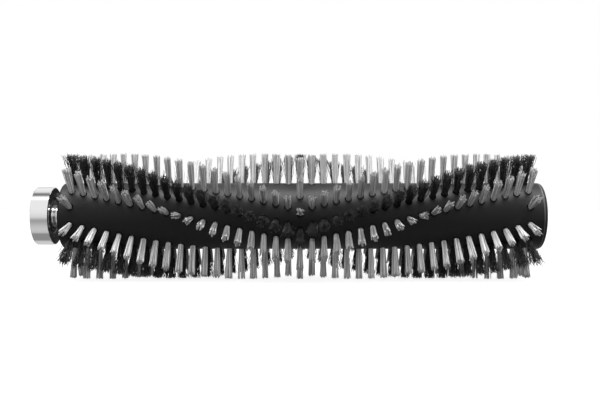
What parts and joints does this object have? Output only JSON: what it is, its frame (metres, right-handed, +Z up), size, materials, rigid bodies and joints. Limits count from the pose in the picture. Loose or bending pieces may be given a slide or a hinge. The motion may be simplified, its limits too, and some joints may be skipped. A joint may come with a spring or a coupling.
{
  "type": "floor scrubber brush roller",
  "caption": "Cylindrical brush roller for an upright floor scrubber: black core, chevron rows of grey and black nylon tufts, chrome idler bearing cup, hex drive socket.",
  "frame": {"origin": "middle of the bearing cup, on the roller's axis", "axes": "+X along the roller's axis from the bearing cup to the drive end, +Z up, -Y the front"},
  "size_m": [0.3442, 0.0858, 0.0858],
  "materials": {
    "core_plastic": "matte moulded",
    "black_plastic": "moulded nylon",
    "housing_plastic": "gloss moulded",
    "seal_rubber": "satin rubber",
    "chrome": "polished plate",
    "turned_steel": "bright turned",
    "bearing_steel": "ground",
    "shaft_steel": "turned",
    "spring_steel": "phosphated",
    "anchor_wire": "drawn flat wire",
    "cage_plastic": "moulded nylon",
    "grey_nylon": "translucent filament",
    "black_nylon": "crimped filament"
  },
  "bodies": {
    "bearing_holder": {"bearing_cup": "chrome", "bearing_housing": "housing_plastic", "dust_ring": "seal_rubber", "outer_race": "bearing_steel", "bearing_seals": "seal_rubber"},
    "ball_set": {"bearing_balls": "bearing_steel", "ball_cage": "cage_plastic"},
    "roller": {"inner_race": "bearing_steel", "retaining_ring": "spring_steel", "stub_shaft": "shaft_steel", "spacer_collar": "turned_steel", "idler_plug": "black_plastic", "cross_pin": "shaft_steel", "core_tube": "core_plastic", "drive_insert": "black_plastic", "grey_row_1": "grey_nylon", "grey_row_2": "grey_nylon", "grey_row_3": "grey_nylon", "grey_row_4": "grey_nylon", "grey_row_5": "grey_nylon", "grey_row_6": "grey_nylon", "black_row_1": "black_nylon", "black_row_2": "black_nylon", "black_row_3": "black_nylon", "fill_tufts": "grey_nylon", "tuft_anchors": "anchor_wire"}
  },
  "joints": [
    {"name": "roller_spin", "type": "hinge", "parent": "bearing_holder", "child": "roller", "pos_m": [0, 0, 0], "axis": [1, 0, 0], "continuous": true},
    {"name": "ball_orbit", "type": "hinge", "parent": "bearing_holder", "child": "ball_set", "pos_m": [0, 0, 0], "axis": [1, 0, 0], "continuous": true}
  ],
  "couplings": [
    {"joint": "ball_orbit", "follows": "roller_spin", "ratio": 0.3861}
  ]
}
